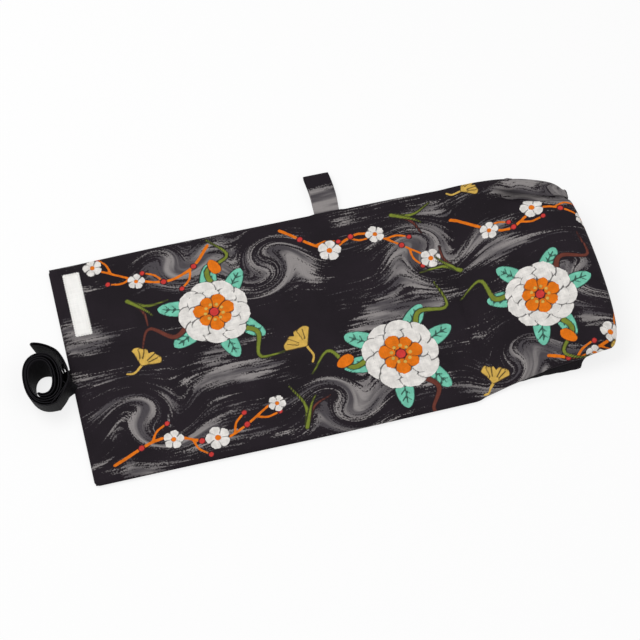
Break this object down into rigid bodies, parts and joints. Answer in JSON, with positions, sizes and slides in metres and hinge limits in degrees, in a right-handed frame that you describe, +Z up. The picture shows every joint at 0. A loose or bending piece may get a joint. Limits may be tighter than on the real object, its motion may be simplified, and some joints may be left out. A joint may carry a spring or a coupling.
{
  "type": "dice bag with roll-up cloth panel",
  "caption": "Printed cloth panel with a boxed dice bag sewn into one end, a rolled webbing closing strap at the other end, a hanging loop and a bare woven label.",
  "frame": {"origin": "middle of the whole object's box, on the table it lies on", "axes": "+X along the unrolled cloth from the strap end to the bag's base, +Y across it towards the hanging loop, +Z up from the table, printed side up"},
  "size_m": [0.5306, 0.274, 0.044],
  "materials": {
    "printed_cotton": "matt printed cotton, near-black ground with grey brushed clouds and coloured motifs",
    "black_cotton": "matt plain-weave black cotton",
    "felt": "pressed felt interlining, hidden",
    "webbing": "thin black woven webbing with a slight sheen",
    "woven_label": "white woven tape with pinked edges, bare"
  },
  "bodies": {
    "root": {"printed_cover": "printed_cotton", "panel_stiffener": "felt", "lining_panel": "black_cotton", "pocket_panel": "black_cotton", "bag_back": "black_cotton", "closing_strap": "webbing", "side_loop": "printed_cotton", "label": "woven_label"}
  },
  "joints": []
}
